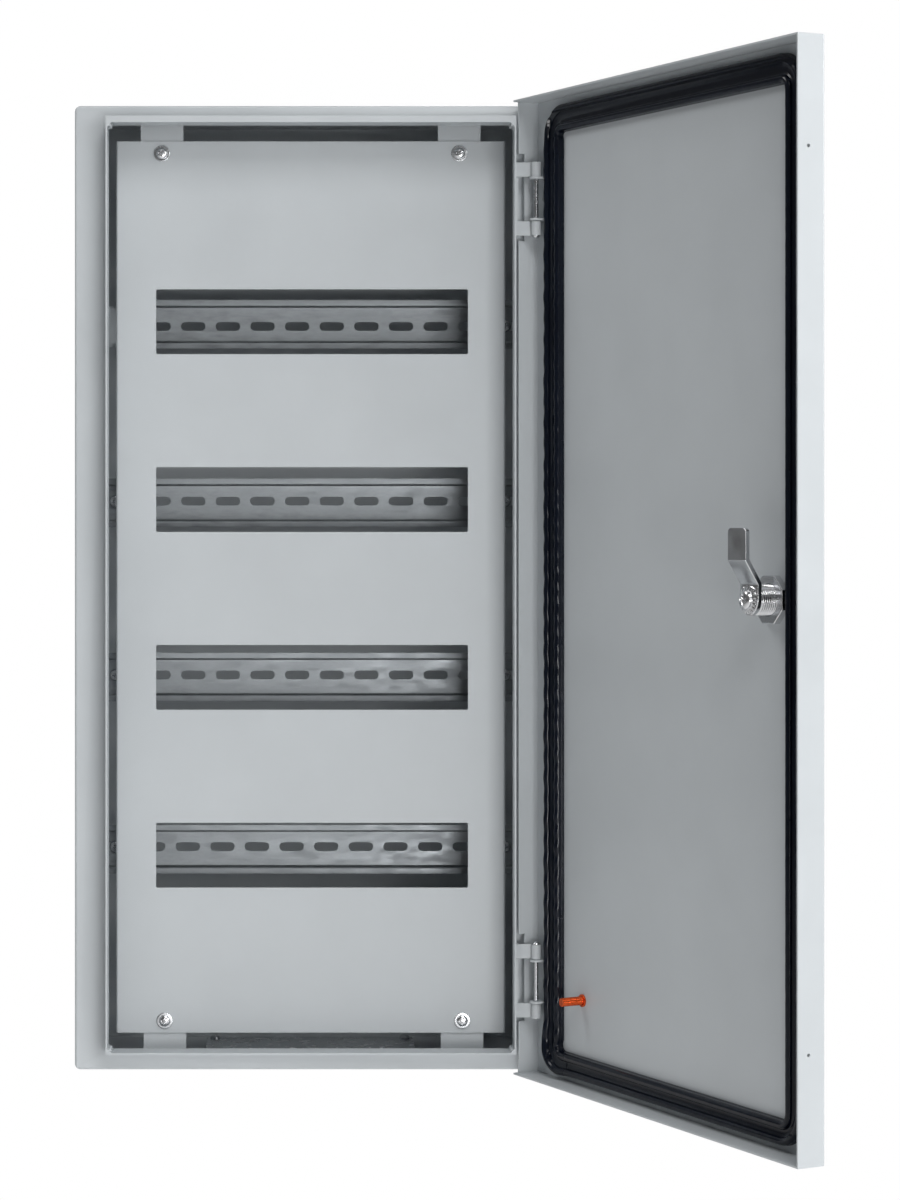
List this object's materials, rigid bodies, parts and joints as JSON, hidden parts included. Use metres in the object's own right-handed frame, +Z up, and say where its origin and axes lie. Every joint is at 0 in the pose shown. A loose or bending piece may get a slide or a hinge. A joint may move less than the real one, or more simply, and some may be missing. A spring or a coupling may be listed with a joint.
{
  "type": "steel wall enclosure",
  "caption": "Grey steel wall enclosure for modular devices: gasketed door on concealed hinges with a cam lock, windowed inner cover and perforated top-hat rails.",
  "frame": {"origin": "centre of the four wall holes, on the back face that lies on the wall", "axes": "+Z up, +X towards the hinges, -Y out of the wall towards the person at the door"},
  "size_m": [0.4694, 0.4365, 0.6756],
  "materials": {
    "cabinet_paint": "fine-textured light grey powder coat",
    "cover_paint": "fine-textured light grey powder coat",
    "door_paint": "fine-textured light grey powder coat",
    "rail_zinc": "zinc-plated rolled strip",
    "zinc_plate": "bright zinc",
    "chrome": "nickel-chrome plate",
    "rubber": "smooth black sponge rubber",
    "copper": "copper-plated steel"
  },
  "bodies": {
    "cabinet": {"enclosure_body": "cabinet_paint", "cover_brackets": "cabinet_paint", "rail_brackets_left": "cabinet_paint", "rail_brackets_right": "cabinet_paint", "din_rail_1": "rail_zinc", "din_rail_2": "rail_zinc", "din_rail_3": "rail_zinc", "din_rail_4": "rail_zinc", "rail_screws": "zinc_plate", "front_cover": "cover_paint", "cover_screws": "chrome", "cover_washers": "chrome", "gland_plate": "zinc_plate", "gland_gasket": "rubber", "gland_screws": "zinc_plate", "earth_stud": "copper", "earth_washer": "zinc_plate", "earth_nut": "zinc_plate", "hinge_arm_upper": "cabinet_paint", "hinge_arm_lower": "cabinet_paint", "hinge_pin_upper": "chrome", "hinge_pin_lower": "chrome"},
    "door": {"door_leaf": "door_paint", "door_gasket": "rubber", "door_hinge_bracket_upper": "cabinet_paint", "door_hinge_bracket_lower": "cabinet_paint", "door_earth_stud": "copper", "lock_housing": "chrome", "lock_seal": "rubber", "lock_nut": "chrome"},
    "lock_rotor": {"lock_core": "chrome", "lock_cam": "chrome", "cam_washer": "chrome", "cam_screw": "chrome"}
  },
  "joints": [
    {"name": "door_swing", "type": "hinge", "parent": "cabinet", "child": "door", "pos_m": [0.1558, -0.1416, 0], "axis": [0, 0, 1], "range_deg": [-116.1, 13.9]},
    {"name": "cam_turn", "type": "hinge", "parent": "door", "child": "lock_rotor", "pos_m": [0.28781, -0.38015, -0.0005], "axis": [-0.898, -0.4399, 0], "range_deg": [-90, 0]}
  ]
}
